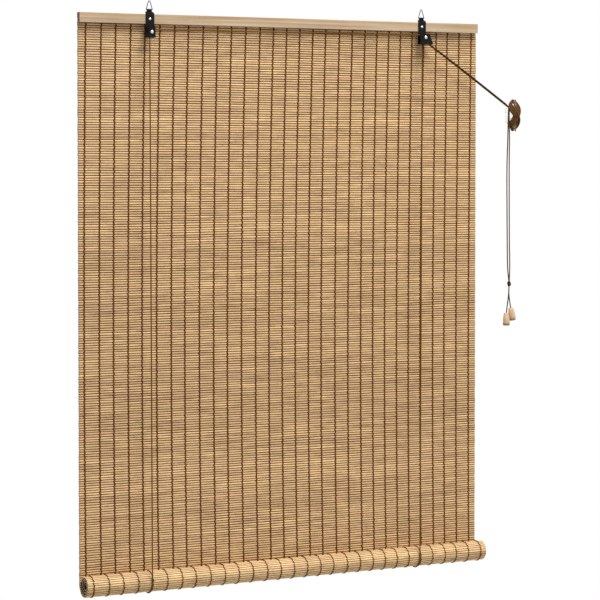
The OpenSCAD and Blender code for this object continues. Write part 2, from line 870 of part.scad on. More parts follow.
// Turned wooden pull under the end of a cord, with a bore for the cord and a pocket for its knot
module wooden_pull(top, tilt) {
    edge = 1;
    belly = 0.7;
    top_r = pull_top_d / 2;
    foot_r = pull_foot_d / 2;
    bore_r = cord_r + 0.5;
    pocket_r = pull_foot_d / 4;
    pocket_h = pull_h / 3;
    flank = [for (k = [0:6])
        [top_r + (foot_r - top_r) * k / 6 + belly * sin(30 * k), -edge - (pull_h - 4 * edge) * k / 6]];
    rim = [for (a = [15:15:75]) [foot_r - 2 * edge + 2 * edge * cos(a), 3 * edge - pull_h - 3 * edge * sin(a)]];
    color(PULL_WOOD)
        translate(cord_shift + top)
            rotate([0, tilt, 0])
                rotate_extrude()
                    polygon(concat(
                        [[bore_r, 0], [top_r - edge, 0], [top_r - edge / 4, -edge / 3]], flank, rim,
                        [[foot_r - 2 * edge, -pull_h], [pocket_r, -pull_h],
                            [pocket_r, -pull_h + pocket_h], [bore_r, -pull_h + pocket_h]]));
}

module left_pull() {
    wooden_pull(TAIL_LEFT[len(TAIL_LEFT) - 1], 0);
}

module right_pull() {
    wooden_pull(TAIL_RIGHT[len(TAIL_RIGHT) - 1], -PULL_TILT);
}

head_rail();
mat_heading();
hanging_mat();
rolled_mat();
hanging_threads();
roll_threads();
heading_staples();
cord_staples();
left_hanger();
right_hanger();
left_ring();
right_ring();
hanger_screws();
sheave_rivets();
left_guide_housing();
guide_sheave();
right_lock_housing();
lock_sheave();
grip_pin();
grip_roller();
cross_cord();
right_lock_cord();
left_front_cord();
right_front_cord();
left_back_cord();
right_back_cord();
left_roll_loop();
right_roll_loop();
wall_cleat();
pull_cords();
cleat_winding();
hanging_cords();
pull_knot();
cord_tails();
left_pull();
right_pull();
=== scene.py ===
"""Dresses a bamboo roll-up blind: woven slats, warp threads, roll, cords, hangers and wall cleat."""

import bisect
import math
import random

import bpy
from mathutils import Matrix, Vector


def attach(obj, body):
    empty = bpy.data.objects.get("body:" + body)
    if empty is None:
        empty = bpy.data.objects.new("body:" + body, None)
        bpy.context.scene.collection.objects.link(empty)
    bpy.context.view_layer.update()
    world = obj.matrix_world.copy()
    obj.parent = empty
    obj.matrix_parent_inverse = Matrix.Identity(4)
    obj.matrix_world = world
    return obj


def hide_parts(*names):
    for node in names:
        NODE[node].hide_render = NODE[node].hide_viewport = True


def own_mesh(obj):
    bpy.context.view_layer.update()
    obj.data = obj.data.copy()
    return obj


MM = 0.001
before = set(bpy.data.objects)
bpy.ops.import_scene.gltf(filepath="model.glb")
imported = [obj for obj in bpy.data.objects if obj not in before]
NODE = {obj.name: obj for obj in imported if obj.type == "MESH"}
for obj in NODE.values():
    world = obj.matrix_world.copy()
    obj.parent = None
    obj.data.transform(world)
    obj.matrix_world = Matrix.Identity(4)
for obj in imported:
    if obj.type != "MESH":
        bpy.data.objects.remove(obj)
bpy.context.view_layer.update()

# Sizes repeated from the part's source, in millimetres
MAT_W = 800.0
SLAT_PITCH = 4.15
SLAT_T = 2.2
HANG_SLATS = 232
HEAD_SLATS = 4
RAIL_BOTTOM = -39.0
MAT_FRONT = 6.5
MAT_BACK = MAT_FRONT + SLAT_T
ROLL_R = 19.0
TURN_PITCH = 4.2
ROLL_Y = MAT_BACK - ROLL_R
ROLL_Z = RAIL_BOTTOM - HANG_SLATS * SLAT_PITCH
WARPS = 30
WARP_MARGIN = 11.5
WARP_BOW = 9.5
GUIDE = (-269.0, -53.0)
LOCK = (281.6, -50.0)
GUIDE_R = 3.5
LOCK_R = 4.5
LEFT_CORD_Y = -9.75
RIGHT_CORD_Y = -6.65
LEFT_LOOP_X = -279.0
RIGHT_LOOP_X = 260.0
CORD_TOP = -26.25
LOCK_SLOPE = math.radians(67)
LOCK_RUN = 15.0
EXIT_BEND_R = 4.0
EXIT_SLOPE = math.radians(34)
CLEAT = (480.5, -191.0)

# The dressed cord is a little thicker than the solid one, for its fuzz
CORD_R = 1.1

# Free cords, left and right, in millimetres: from the lock to the cleat, on to the knot, and the tails
PULL_ROUTES = (
    [(293, -9.75, -63.8), (340, -9, -92.9), (400, -8, -131), (450, -6.5, -163.1),
     (463, -5.9, -171.9)],
    [(293, -6.65, -63.8), (340, -6.8, -94.3), (400, -6, -132.8), (450, -4.5, -164.9),
     (463, -4, -173.2)],
)
HANG_ROUTES = (
    [(473.2, -2.6, -165.4), (468.9, -5.2, -168.8), (466.5, -6.4, -175.5), (466, -6.3, -186),
     (466.2, -5, -205), (466.9, -3, -235), (467.5, 0.5, -293), (468.6, 1, -400),
     (469.8, 1, -470), (472, 0.9, -495), (473.2, 0.9, -508)],
    [(474.2, -1.6, -166.4), (471, -3.4, -170.3), (469.4, -4, -177), (469.3, -3.6, -188),
     (470.1, -2.5, -205), (472, -0.8, -235), (473.5, 2, -293), (474.6, 2.4, -420),
     (475.6, 2.3, -470), (475.2, 2.8, -495), (474.8, 3.1, -508)],
)
TAIL_ROUTES = (
    [(472.2, 0.9, -528), (470, 1.2, -545), (467.8, 1.5, -562)],
    [(474.4, 3.1, -526), (476, 2.8, -539), (478.4, 2.5, -553)],
)
KNOT_AT = (474.1, 2, -507)

rng = random.Random(41)


def srgb(r, g, b):
    """Scene colour of a display colour given in 0 to 255."""
    def lin(c):
        c /= 255.0
        return c / 12.92 if c <= 0.04045 else ((c + 0.055) / 1.055) ** 2.4
    return (lin(r), lin(g), lin(b), 1.0)


# ---- camera, light and stage ----
CAMERA_AT = (-1.9822, -3.7118, -0.2616)
CAMERA_YAW = 28.417
CAMERA_TILT = 2.103
CAMERA_LENS = 141.77
CAMERA_SHIFT = -0.1
SENSOR_W = 36.0
FAR_CLIP = 50.0
FLOOR_Z = -1.35
FLOOR_R = 1.0
FLOOR_STEPS = 96
FLOOR_PAINT = (0.68, 0.68, 0.675, 1.0)
# Strength of the soft light straight from below and straight from above
LIGHT_BELOW = 0.26
LIGHT_ABOVE = 0.62
LIGHT_TINT = (1.0, 0.985, 0.965, 1.0)
WHITE = (1.0, 1.0, 1.0, 1.0)
LAMP_AT = (0.5, -1.35, 2.7)
LAMP_TARGET = (0.0, 0.0, -0.5)
LAMP_SIZE = 2.0
LAMP_POWER = 148.0


def add_camera():
    data = bpy.data.cameras.new("studio_camera")
    data.sensor_width = SENSOR_W
    data.lens = CAMERA_LENS
    data.shift_y = CAMERA_SHIFT
    data.clip_end = FAR_CLIP
    cam = bpy.data.objects.new("studio_camera", data)
    cam.location = CAMERA_AT
    cam.rotation_euler = (math.radians(90 - CAMERA_TILT), 0.0, -math.radians(CAMERA_YAW))
    bpy.context.scene.collection.objects.link(cam)
    bpy.context.scene.camera = cam


def seen_directly(tree):
    """Socket that is one for camera, glossy and transmission rays."""
    path = tree.nodes.new("ShaderNodeLightPath")
    total = None
    for name in ("Is Camera Ray", "Is Glossy Ray", "Is Transmission Ray"):
        if total is None:
            total = path.outputs[name]
            continue
        both = tree.nodes.new("ShaderNodeMath")
        both.operation = "MAXIMUM"
        tree.links.new(total, both.inputs[0])
        tree.links.new(path.outputs[name], both.inputs[1])
        total = both.outputs[0]
    return total


def add_world():
    """White backdrop for what is seen directly, and soft light that grows towards the ceiling."""
    world = bpy.data.worlds.new("studio_world")
    world.use_nodes = True
    tree = world.node_tree
    tree.nodes.clear()
    height = tree.nodes.new("ShaderNodeSeparateXYZ")
    tree.links.new(tree.nodes.new("ShaderNodeTexCoord").outputs["Generated"], height.inputs[0])
    grade = tree.nodes.new("ShaderNodeMapRange")
    tree.links.new(height.outputs["Z"], grade.inputs["Value"])
    ends = {"From Min": -1.0, "From Max": 1.0, "To Min": LIGHT_BELOW, "To Max": LIGHT_ABOVE}
    for name, value in ends.items():
        grade.inputs[name].default_value = value
    soft = tree.nodes.new("ShaderNodeBackground")
    soft.inputs["Color"].default_value = LIGHT_TINT
    tree.links.new(grade.outputs["Result"], soft.inputs["Strength"])
    white = tree.nodes.new("ShaderNodeBackground")
    white.inputs["Color"].default_value = WHITE
    mix = tree.nodes.new("ShaderNodeMixShader")
    out = tree.nodes.new("ShaderNodeOutputWorld")
    tree.links.new(seen_directly(tree), mix.inputs[0])
    tree.links.new(soft.outputs[0], mix.inputs[1])
    tree.links.new(white.outputs[0], mix.inputs[2])
    tree.links.new(mix.outputs[0], out.inputs["Surface"])
    bpy.context.scene.world = world


def add_lamp():
    data = bpy.data.lights.new("key_lamp", "AREA")
    data.shape = "DISK"
    data.size = LAMP_SIZE
    data.energy = LAMP_POWER
    lamp = bpy.data.objects.new("key_lamp", data)
    lamp.location = LAMP_AT
    lamp.rotation_euler = (Vector(LAMP_TARGET) - Vector(LAMP_AT)).to_track_quat("-Z", "Y").to_euler()
    bpy.context.scene.collection.objects.link(lamp)


def add_floor():
    angles = [2 * math.pi * k / FLOOR_STEPS for k in range(FLOOR_STEPS)]
    rim = [(FLOOR_R * math.cos(a), FLOOR_R * math.sin(a), FLOOR_Z) for a in angles]
    mesh = bpy.data.meshes.new("studio_floor")
    mesh.from_pydata(rim, [], [list(range(FLOOR_STEPS))])
    floor = bpy.data.objects.new("studio_floor", mesh)
    mat = bpy.data.materials.new("floor_paint")
    mat.use_nodes = True
    bsdf = mat.node_tree.nodes["Principled BSDF"]
    bsdf.inputs["Base Color"].default_value = FLOOR_PAINT
    bsdf.inputs["Roughness"].default_value = 0.8
    mesh.materials.append(mat)
    bpy.context.scene.collection.objects.link(floor)


add_camera()
add_world()
add_lamp()
add_floor()
bpy.context.scene.view_settings.view_transform = "Standard"


# ---- shader helpers ----
def new_node(tree, kind, **values):
    node = tree.nodes.new(kind)
    for name, value in values.items():
        setattr(node, name, value)
    return node


def feed(tree, node, name, value):
    """Links a socket into an input, or sets the input's value."""
    if hasattr(value, "is_output"):
        tree.links.new(value, node.inputs[name])
    else:
        node.inputs[name].default_value = value


def maths(tree, operation, a, b=0.0, clamp=False):
    node = new_node(tree, "ShaderNodeMath", operation=operation, use_clamp=clamp)
    feed(tree, node, 0, a)
    feed(tree, node, 1, b)
    return node.outputs[0]


def mix_colour(tree, factor, a, b, blend="MIX"):
    node = new_node(tree, "ShaderNodeMix", data_type="RGBA", blend_type=blend)
    feed(tree, node, 0, factor)
    feed(tree, node, 6, a)
    feed(tree, node, 7, b)
    return node.outputs[2]


def noise(tree, vector, scale, detail, rough=0.55):
    node = new_node(tree, "ShaderNodeTexNoise")
    feed(tree, node, "Vector", vector)
    feed(tree, node, "Scale", scale)
    node.inputs["Detail"].default_value = detail
    node.inputs["Roughness"].default_value = rough
    return node.outputs["Fac"]


def spread(tree, value, low, high):
    """Stretches the range low to high of a value to 0 to 1."""
    node = new_node(tree, "ShaderNodeMapRange")
    feed(tree, node, "Value", value)
    node.inputs["From Min"].default_value = low
    node.inputs["From Max"].default_value = high
    return node.outputs["Result"]


def make_fibre_group():
    """Long streaks along one direction, for split bamboo and planed wood."""
    tree = bpy.data.node_groups.new("wood_fibre", "ShaderNodeTree")
    tree.interface.new_socket("Vector", in_out="INPUT", socket_type="NodeSocketVector")
    tree.interface.new_socket("Stretch", in_out="INPUT", socket_type="NodeSocketVector")
    tree.interface.new_socket("Streak", in_out="OUTPUT", socket_type="NodeSocketFloat")
    tree.interface.new_socket("Fine", in_out="OUTPUT", socket_type="NodeSocketFloat")
    source = tree.nodes.new("NodeGroupInput")
    sink = tree.nodes.new("NodeGroupOutput")
    scaled = new_node(tree, "ShaderNodeVectorMath", operation="MULTIPLY")
    tree.links.new(source.outputs["Vector"], scaled.inputs[0])
    tree.links.new(source.outputs["Stretch"], scaled.inputs[1])
    streak = noise(tree, scaled.outputs[0], scale=1.0, detail=3.0)
    streak = spread(tree, streak, low=0.3, high=0.7)
    fine = noise(tree, scaled.outputs[0], scale=3.7, detail=6.0, rough=0.65)
    tree.links.new(streak, sink.inputs["Streak"])
    tree.links.new(fine, sink.inputs["Fine"])
    return tree


def make_strand_group():
    """Height of fine twisted strands, for cord and thread."""
    tree = bpy.data.node_groups.new("twisted_strands", "ShaderNodeTree")
    tree.interface.new_socket("Vector", in_out="INPUT", socket_type="NodeSocketVector")
    tree.interface.new_socket("Lay", in_out="INPUT", socket_type="NodeSocketFloat")
    tree.interface.new_socket("Height", in_out="OUTPUT", socket_type="NodeSocketFloat")
    tree.interface.new_socket("Fuzz", in_out="OUTPUT", socket_type="NodeSocketFloat")
    source = tree.nodes.new("NodeGroupInput")
    sink = tree.nodes.new("NodeGroupOutput")
    wave = new_node(tree, "ShaderNodeTexWave", wave_type="BANDS", bands_direction="DIAGONAL")
    tree.links.new(source.outputs["Vector"], wave.inputs["Vector"])
    tree.links.new(source.outputs["Lay"], wave.inputs["Scale"])
    wave.inputs["Distortion"].default_value = 1.5
    wave.inputs["Detail"].default_value = 2.0
    fuzz = noise(tree, source.outputs["Vector"], scale=2600.0, detail=4.0, rough=0.7)
    tree.links.new(wave.outputs["Fac"], sink.inputs["Height"])
    tree.links.new(fuzz, sink.inputs["Fuzz"])
    return tree


FIBRE = make_fibre_group()
STRANDS = make_strand_group()


def new_material(name):
    mat = bpy.data.materials.new(name)
    mat.use_nodes = True
    tree = mat.node_tree
    bsdf = tree.nodes["Principled BSDF"]
    coords = tree.nodes.new("ShaderNodeTexCoord").outputs["Object"]
    return mat, tree, bsdf, coords


def fibre(tree, coords, stretch):
    node = new_node(tree, "ShaderNodeGroup", node_tree=FIBRE)
    tree.links.new(coords, node.inputs["Vector"])
    node.inputs["Stretch"].default_value = stretch
    return node.outputs["Streak"], node.outputs["Fine"]


def add_bump(tree, bsdf, height, strength, distance):
    bump = new_node(tree, "ShaderNodeBump")
    bump.inputs["Strength"].default_value = strength
    bump.inputs["Distance"].default_value = distance
    tree.links.new(height, bump.inputs["Height"])
    tree.links.new(bump.outputs["Normal"], bsdf.inputs["Normal"])


def attribute(tree, name):
    return new_node(tree, "ShaderNodeAttribute", attribute_name=name).outputs["Fac"]


def weighed(tree, *shares):
    """Sum of values, each times its share."""
    total = None
    for value, share in shares:
        part = maths(tree, "MULTIPLY", value, share)
        total = part if total is None else maths(tree, "ADD", total, part)
    return total


# Split bamboo: length in metres of a slat's paler and darker stretches, of its hues and of the changes in
# the painted shade of its gaps, and how far apart the slats' patterns are
PATCH_LENGTH = 0.045
HUE_LENGTH = 0.09
GAP_SHADE_LENGTH = 0.06
SEED_SPREAD = 731.0
# Shares of streaks, fibre and stretches in a slat's shade, on top of an even shade
STREAK_SHARE = 0.2
FIBRE_SHARE = 0.3
PATCH_SHARE = 0.42
EVEN_SHADE = 0.64
# Painted shade in the gaps between slats: its depth at least, and how much it can add
GAP_SHADE_DEPTH = 0.78
GAP_SHADE_CHANGE = 0.45
GAP_SHADE_BROWN = srgb(92, 50, 4)
KNUCKLE_SHARE = 0.2
KNUCKLE_BROWN = srgb(96, 66, 38)
# Colours of the cut ends, dark partly as painted shade; they are also painted as shade on a slat's left end
CUT_DARK = srgb(78, 60, 38)
CUT_PALE = srgb(150, 122, 88)
BAMBOO_GLOSS = 0.5


def bamboo_material(name, yellow, pink):
    """Split bamboo: each slat has its own run of paler and darker stretches, and painted shade in the gaps
    beside it.
    """
    mat, tree, bsdf, coords = new_material(name)
    streak, fine = fibre(tree, coords, stretch=(9.0, 420.0, 420.0))
    seed = attribute(tree, "slat_seed")
    along = new_node(tree, "ShaderNodeSeparateXYZ")
    tree.links.new(coords, along.inputs[0])

    def stretches(length, shift, detail):
        """Value that changes about once each length along a slat, from slat to slat without a link."""
        spot = new_node(tree, "ShaderNodeCombineXYZ")
        feed(tree, spot, "X", maths(tree, "MULTIPLY", along.outputs["X"], 1.0 / length))
        feed(tree, spot, "Y", maths(tree, "MULTIPLY", seed, SEED_SPREAD))
        spot.inputs["Z"].default_value = shift
        return spread(tree, noise(tree, spot.outputs[0], 1.0, detail), low=0.33, high=0.67)

    patch = stretches(PATCH_LENGTH, shift=0.0, detail=3.0)
    hue = stretches(HUE_LENGTH, shift=17.0, detail=1.0)
    uneven_gap_shade = stretches(GAP_SHADE_LENGTH, shift=31.0, detail=2.0)
    shade = weighed(tree, (streak, STREAK_SHARE), (fine, FIBRE_SHARE), (patch, PATCH_SHARE))
    shade = maths(tree, "ADD", shade, EVEN_SHADE)
    shade = maths(tree, "MULTIPLY", shade, attribute(tree, "slat_tone"))
    grey = new_node(tree, "ShaderNodeCombineColor")
    for channel in ("Red", "Green", "Blue"):
        tree.links.new(shade, grey.inputs[channel])
    body = mix_colour(tree, hue, yellow, pink)
    body = mix_colour(tree, 1.0, body, grey.outputs[0], "MULTIPLY")
    # Painted shade in the gaps between slats, uneven along each slat
    depth = maths(tree, "ADD", maths(tree, "MULTIPLY", uneven_gap_shade, GAP_SHADE_CHANGE), GAP_SHADE_DEPTH)
    depth = maths(tree, "MULTIPLY", attribute(tree, "slat_groove"), depth, clamp=True)
    body = mix_colour(tree, depth, body, GAP_SHADE_BROWN)
    knuckle = maths(tree, "MULTIPLY", attribute(tree, "slat_knuckle"), KNUCKLE_SHARE)
    body = mix_colour(tree, knuckle, body, KNUCKLE_BROWN)
    # Cut ends in end-grain colour, dark partly as painted shade, and painted shade on a slat's left end
    pores = spread(tree, noise(tree, coords, scale=2400.0, detail=3.0), low=0.35, high=0.65)
    cut = mix_colour(tree, pores, CUT_DARK, CUT_PALE)
    body = mix_colour(tree, attribute(tree, "slat_end"), body, cut)
    tree.links.new(body, bsdf.inputs["Base Color"])
    bsdf.inputs["Roughness"].default_value = 0.45
    gloss = maths(tree, "MULTIPLY", maths(tree, "SUBTRACT", 1.0, depth), BAMBOO_GLOSS)
    tree.links.new(gloss, bsdf.inputs["Specular IOR Level"])
    add_bump(tree, bsdf, fine, strength=0.35, distance=0.0002)
    return mat


# Wood: shares of streaks and fibre in the grain and of blotches on it
GRAIN_STREAKS = 0.6
GRAIN_FIBRE = 0.5
BLOTCH_SHARE = 0.25
# Painted highlight along a lower edge: heights in metres above it at which it begins and is full, and how
# much of it follows the fibre and is even
HIGHLIGHT_TOP = 0.0022
HIGHLIGHT_FULL = 0.0004
HIGHLIGHT_FIBRE = 0.9
HIGHLIGHT_EVEN = 0.1
HIGHLIGHT_PALE = srgb(240, 226, 202)
# Painted shade on a foot: how much of it at most, and its colour
FOOT_SHADE_SHARE = 0.95
FOOT_SHADE_BROWN = srgb(96, 72, 44)


def wood_material(name, pale, dark, stretch, rough, shaded_end_grain=None, highlight_foot=None, foot_shade_height=None):
    """Planed or turned wood.

    Where given, with darker end grain that is partly painted shade, a painted highlight along the lower
    edge at a height, or painted shade on the foot over a share of the height.
    """
    mat, tree, bsdf, coords = new_material(name)
    streak, fine = fibre(tree, coords, stretch)
    grain = weighed(tree, (streak, GRAIN_STREAKS), (fine, GRAIN_FIBRE))
    body = mix_colour(tree, grain, pale, dark)
    blotch = spread(tree, noise(tree, coords, scale=14.0, detail=2.0), low=0.4, high=0.75)
    body = mix_colour(tree, maths(tree, "MULTIPLY", blotch, BLOTCH_SHARE), body, dark)
    # Painted highlight along the lower edge, ragged along the fibre
    if highlight_foot:
        height = new_node(tree, "ShaderNodeSeparateXYZ")
        tree.links.new(coords, height.inputs[0])
        edge_highlight = spread(tree, height.outputs["Z"], highlight_foot + HIGHLIGHT_TOP, highlight_foot + HIGHLIGHT_FULL)
        ragged = maths(tree, "ADD", maths(tree, "MULTIPLY", fine, HIGHLIGHT_FIBRE), HIGHLIGHT_EVEN)
        body = mix_colour(tree, maths(tree, "MULTIPLY", edge_highlight, ragged), body, HIGHLIGHT_PALE)
    # Painted shade, darker towards the foot
    if foot_shade_height:
        height = new_node(tree, "ShaderNodeSeparateXYZ")
        tree.links.new(tree.nodes.new("ShaderNodeTexCoord").outputs["Generated"], height.inputs[0])
        painted_shade = spread(tree, height.outputs["Z"], low=foot_shade_height, high=0.0)
        body = mix_colour(tree, maths(tree, "MULTIPLY", painted_shade, FOOT_SHADE_SHARE), body, FOOT_SHADE_BROWN)
    # Darker end grain, darkened further as painted shade on the end faces
    if shaded_end_grain:
        facing = new_node(tree, "ShaderNodeSeparateXYZ")
        tree.links.new(tree.nodes.new("ShaderNodeTexCoord").outputs["Normal"], facing.inputs[0])
        across = maths(tree, "ABSOLUTE", facing.outputs["X"])
        body = mix_colour(tree, spread(tree, across, low=0.7, high=0.95), body, shaded_end_grain)
    tree.links.new(body, bsdf.inputs["Base Color"])
    bsdf.inputs["Roughness"].default_value = rough
    bsdf.inputs["Specular IOR Level"].default_value = 0.35
    add_bump(tree, bsdf, fine, strength=0.25, distance=0.0003)
    return mat


# How close the strands of a cord or thread lie
STRAND_LAY = 900.0


def strand_material(name, pale, dark, twist):
    """Twisted fibre; twist is the share of the colour that follows the strands."""
    mat, tree, bsdf, coords = new_material(name)
    group = new_node(tree, "ShaderNodeGroup", node_tree=STRANDS)
    tree.links.new(coords, group.inputs["Vector"])
    group.inputs["Lay"].default_value = STRAND_LAY
    depth = weighed(tree, (group.outputs["Height"], twist), (group.outputs["Fuzz"], 1.0 - twist))
    tree.links.new(mix_colour(tree, depth, dark, pale), bsdf.inputs["Base Color"])
    bsdf.inputs["Roughness"].default_value = 0.85
    bsdf.inputs["Specular IOR Level"].default_value = 0.05
    add_bump(tree, bsdf, depth, strength=0.6, distance=0.0004)
    return mat


# Metal: how far worn patches change its colour and its roughness
WEAR_SHARE = 0.5
WEAR_ROUGH = 0.12


def metal_material(name, colour, wear, metallic, rough, gloss=0.5):
    """Bare or painted metal with patches of wear."""
    mat, tree, bsdf, coords = new_material(name)
    patches = spread(tree, noise(tree, coords, scale=160.0, detail=5.0), low=0.3, high=0.75)
    fine = noise(tree, coords, scale=1800.0, detail=3.0)
    body = mix_colour(tree, maths(tree, "MULTIPLY", patches, WEAR_SHARE), colour, wear)
    tree.links.new(body, bsdf.inputs["Base Color"])
    bsdf.inputs["Metallic"].default_value = metallic
    bsdf.inputs["Specular IOR Level"].default_value = gloss
    ground = maths(tree, "ADD", maths(tree, "MULTIPLY", patches, WEAR_ROUGH), rough)
    tree.links.new(ground, bsdf.inputs["Roughness"])
    add_bump(tree, bsdf, fine, strength=0.12, distance=0.0002)
    return mat


def plastic_material(name, pale, dark):
    """Clear plastic, a little clouded."""
    mat, tree, bsdf, coords = new_material(name)
    cloud = noise(tree, coords, scale=90.0, detail=3.0)
    tree.links.new(mix_colour(tree, cloud, pale, dark), bsdf.inputs["Base Color"])
    bsdf.inputs["Roughness"].default_value = 0.02
    bsdf.inputs["Transmission Weight"].default_value = 0.97
    bsdf.inputs["IOR"].default_value = 1.3
    return mat


# The roll shows the mat's back
BAMBOO = bamboo_material("bamboo_front", srgb(221, 187, 135), srgb(215, 175, 131))
BAMBOO_BACK = bamboo_material("bamboo_back", srgb(222, 191, 137), srgb(217, 178, 132))
# The rail's ends are darkened partly as painted shade, and its lower edge has a painted highlight; the
# pulls' feet have painted shade
RAIL_WOOD = wood_material("planed_rail", srgb(222, 200, 168), srgb(156, 124, 90),
                          stretch=(5.0, 330.0, 330.0), rough=0.55, shaded_end_grain=srgb(104, 78, 50),
                          highlight_foot=RAIL_BOTTOM * MM)
PULL_WOOD = wood_material("turned_pull", srgb(252, 226, 188), srgb(190, 150, 106),
                          stretch=(300.0, 300.0, 30.0), rough=0.45, foot_shade_height=0.28)
THREAD = strand_material("warp_thread", srgb(140, 82, 22), srgb(76, 40, 6), twist=0.5)
CORD = strand_material("brown_cord", srgb(104, 74, 42), srgb(36, 26, 15), twist=0.3)
FADED_CORD = strand_material("faded_cord", srgb(148, 104, 58), srgb(58, 40, 21), twist=0.3)
LIFT_CORD = strand_material("lift_cord", srgb(138, 92, 38), srgb(60, 38, 12), twist=0.3)
BLACK_STEEL = metal_material("black_paint", srgb(14, 13, 13), srgb(30, 29, 28),
                             metallic=0.0, rough=0.35, gloss=0.12)
BRIGHT_STEEL = metal_material("bright_steel", srgb(214, 215, 216), srgb(176, 177, 180),
                              metallic=1.0, rough=0.22)
WIRE_STEEL = metal_material("drawn_wire", srgb(120, 120, 121), srgb(72, 72, 73),
                            metallic=1.0, rough=0.3)
PALE_PLASTIC = plastic_material("pale_plastic", srgb(253, 253, 251), srgb(246, 246, 243))


# ---- mesh helpers ----
def add_object(name, verts, faces, material, body, values=None):
    """Smooth mesh piece from points in millimetres, with named values for each point."""
    mesh = bpy.data.meshes.new(name)
    mesh.from_pydata([(x * MM, y * MM, z * MM) for x, y, z in verts], [], faces)
    for key, numbers in (values or {}).items():
        layer = mesh.attributes.new(key, "FLOAT", "POINT")
        layer.data.foreach_set("value", numbers)
    mesh.materials.append(material)
    mesh.polygons.foreach_set("use_smooth", [True] * len(mesh.polygons))
    obj = bpy.data.objects.new(name, mesh)
    bpy.context.scene.collection.objects.link(obj)
    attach(obj, body)
    return obj


def smooth_path(points, step):
    """Points of a smooth curve through the given ones, about one step apart."""
    p = [Vector(q) for q in points]
    p = [2 * p[0] - p[1]] + p + [2 * p[-1] - p[-2]]
    out = []
    for i in range(1, len(p) - 2):
        count = max(1, int((p[i + 1] - p[i]).length / step))
        for k in range(count):
            t = k / count
            a = -p[i - 1] + 3 * p[i] - 3 * p[i + 1] + p[i + 2]
            b = 2 * p[i - 1] - 5 * p[i] + 4 * p[i + 1] - p[i + 2]
            out.append(0.5 * (2 * p[i] + (p[i + 1] - p[i - 1]) * t + b * t * t + a * t * t * t))
    out.append(p[-2])
    return out


def tube(points, radius, sides, verts, faces, closed=False, flat=1.0):
    """Adds a tube along the points to a list of corners and faces; flat thins it front to back."""
    p = [Vector(q) for q in points]
    n = len(p)
    base = len(verts)
    normal = None
    for i in range(n):
        if closed:
            way = (p[(i + 1) % n] - p[i - 1]).normalized()
        else:
            way = (p[min(i + 1, n - 1)] - p[max(i - 1, 0)]).normalized()
        if normal is None:
            normal = way.cross(Vector((0.0, 1.0, 0.0)))
            if normal.length < 0.1:
                normal = way.cross(Vector((1.0, 0.0, 0.0)))
        normal = (normal - way * normal.dot(way)).normalized()
        other = way.cross(normal)
        for k in range(sides):
            a = 2 * math.pi * k / sides
            verts.append(tuple(p[i] + radius * (math.cos(a) * normal + flat * math.sin(a) * other)))
    for i in range(n if closed else n - 1):
        j = (i + 1) % n
        for k in range(sides):
            m = (k + 1) % sides
            here, there = base + i * sides, base + j * sides
            faces.append((here + k, here + m, there + m, there + k))
    if not closed:
        faces.append(tuple(base + k for k in reversed(range(sides))))
        faces.append(tuple(base + (n - 1) * sides + k for k in range(sides)))


def arc(centre, radius, start, end, y, steps):
    """Points on a bend about an axis along the depth; angles from +X towards +Z."""
    angles = [start + (end - start) * k / steps for k in range(steps + 1)]
    return [(centre[0] + radius * math.cos(a), y, centre[1] + radius * math.sin(a)) for a in angles]


# ---- slats ----
# Rounded section of a slat: share of half its height, share of its thickness, share of painted shade for
# the gap beside it
FACE = ((-1.0, 0.45, 1.0), (-0.76, 0.26, 0.9), (-0.5, 0.11, 0.1), (0.0, 0.0, 0.0),
        (0.5, 0.11, 0.1), (0.76, 0.26, 0.9), (1.0, 0.45, 1.0))
SECTION = FACE + tuple((u, 1.0 - v, groove) for u, v, groove in reversed(FACE))
SPAN_STEPS = 10
# Length over which painted shade darkens a slat towards its left end, and how much
LEFT_SHADE_LENGTH = 2.2
LEFT_END_SHADE = 0.6
# How far the right ends stand out past the nominal width, and how far each end may fall short
LONG_END = 2.2
END_STRAY = 0.7
# A slat's knuckles: how near to an end they come, how far in the first one may be, how far apart they are,
# and half their length
KNUCKLE_MARGIN = 20.0
FIRST_KNUCKLE = 330.0
KNUCKLE_GAP = (260.0, 380.0)
KNUCKLE_HALF = 3.5
SLAT_TONES = (0.9, 1.12)
# How a slat differs from its neighbours: set in, thinner, higher or lower, and tilted
SET_IN = 0.22
ROLL_SET_IN = 0.2
THINNER = 0.2
OFF_PLACE = 0.06
TILT = 0.12
# Height of a slat as a share of the pitch, hanging and in the roll
FLAT_HEIGHT = (1.03, 1.07)
ROLLED_HEIGHT = (0.98, 1.02)
# Two slow waves down the mat, so that no bow repeats: how far, over which height and how far along
SLOW_SWAY = (0.6, 37.0, 0.0)
QUICK_SWAY = (0.4, 13.0, 1.0)
# Half waves of the bow across the mat, and the height over which they wander sideways
BOW_HALVES = 3.0
BOW_WANDER = 90.0


